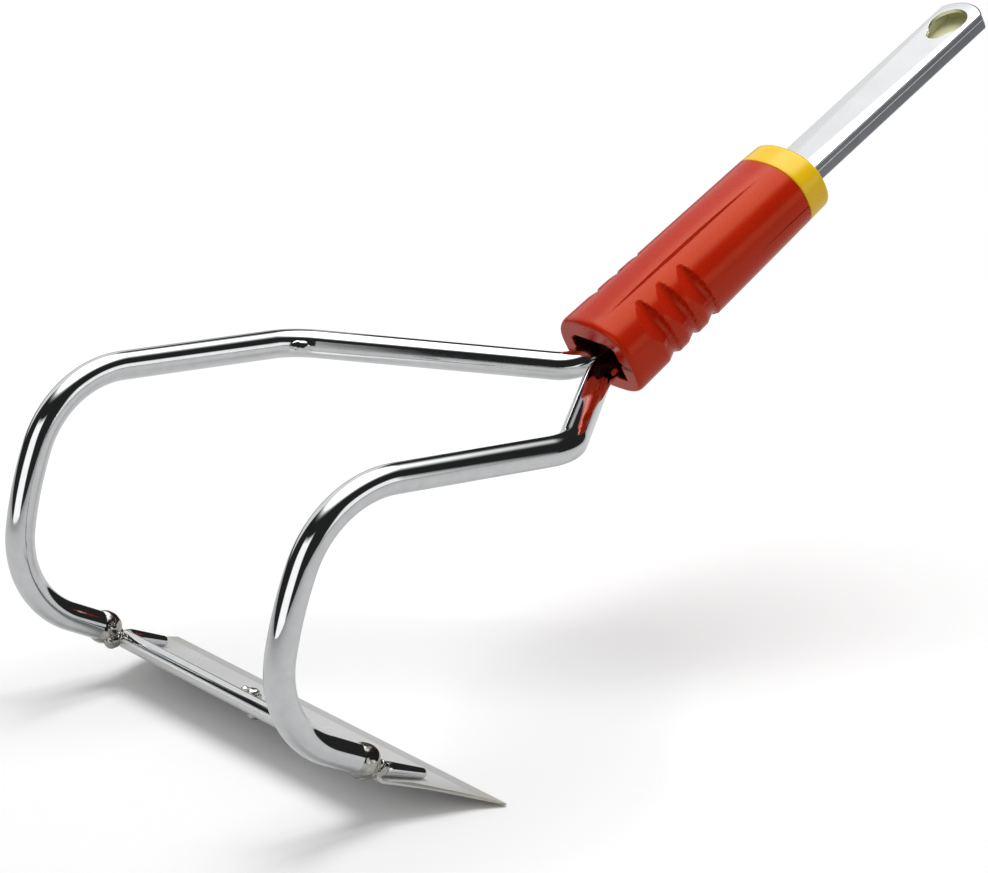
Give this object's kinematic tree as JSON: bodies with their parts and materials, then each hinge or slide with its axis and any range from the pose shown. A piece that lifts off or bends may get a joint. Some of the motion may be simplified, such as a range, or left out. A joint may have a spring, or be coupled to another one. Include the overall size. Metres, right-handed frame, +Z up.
{
  "type": "draw hoe head",
  "caption": "Draw hoe head: a flat blade with a ground edge hangs across a bow of bent chromed rods, behind a plastic grip with a keyholed tang.",
  "frame": {"origin": "on the floor, at the middle of the part's length and width, with the cutting edge on the floor", "axes": "+X forward, from the tang to the bow's front; +Y to the left; +Z up; the head is posed as it works, with the tang rising to the back at 29.1 degrees"},
  "size_m": [0.3004, 0.1502, 0.1675],
  "materials": {
    "chrome_rod": "bright chrome plating on drawn round steel",
    "blade_sheet": "plated sheet steel with a ground bevel along the cutting edge",
    "blade_rod": "plated round steel",
    "weld": "rough weld bead under plating",
    "grip": "red moulded plastic, semi-gloss",
    "ring": "yellow moulded plastic, semi-gloss",
    "tang": "bright plated sheet steel",
    "screw": "zinc plated screw"
  },
  "bodies": {
    "root": {"left_leg": "chrome_rod", "right_leg": "chrome_rod", "blade": "blade_sheet", "blade_rod": "blade_rod", "left_foot_weld": "weld", "right_foot_weld": "weld", "centre_weld": "weld", "under_weld": "weld", "left_bend_bead": "chrome_rod", "right_bend_bead": "chrome_rod", "upper_grip_shell": "grip", "lower_grip_shell": "grip", "end_ring": "ring", "upper_tang_channel": "tang", "lower_tang_channel": "tang", "left_seam_weld": "weld", "right_seam_weld": "weld", "front_tang_weld": "weld", "rear_tang_weld": "weld", "shell_screws": "screw"}
  },
  "joints": []
}
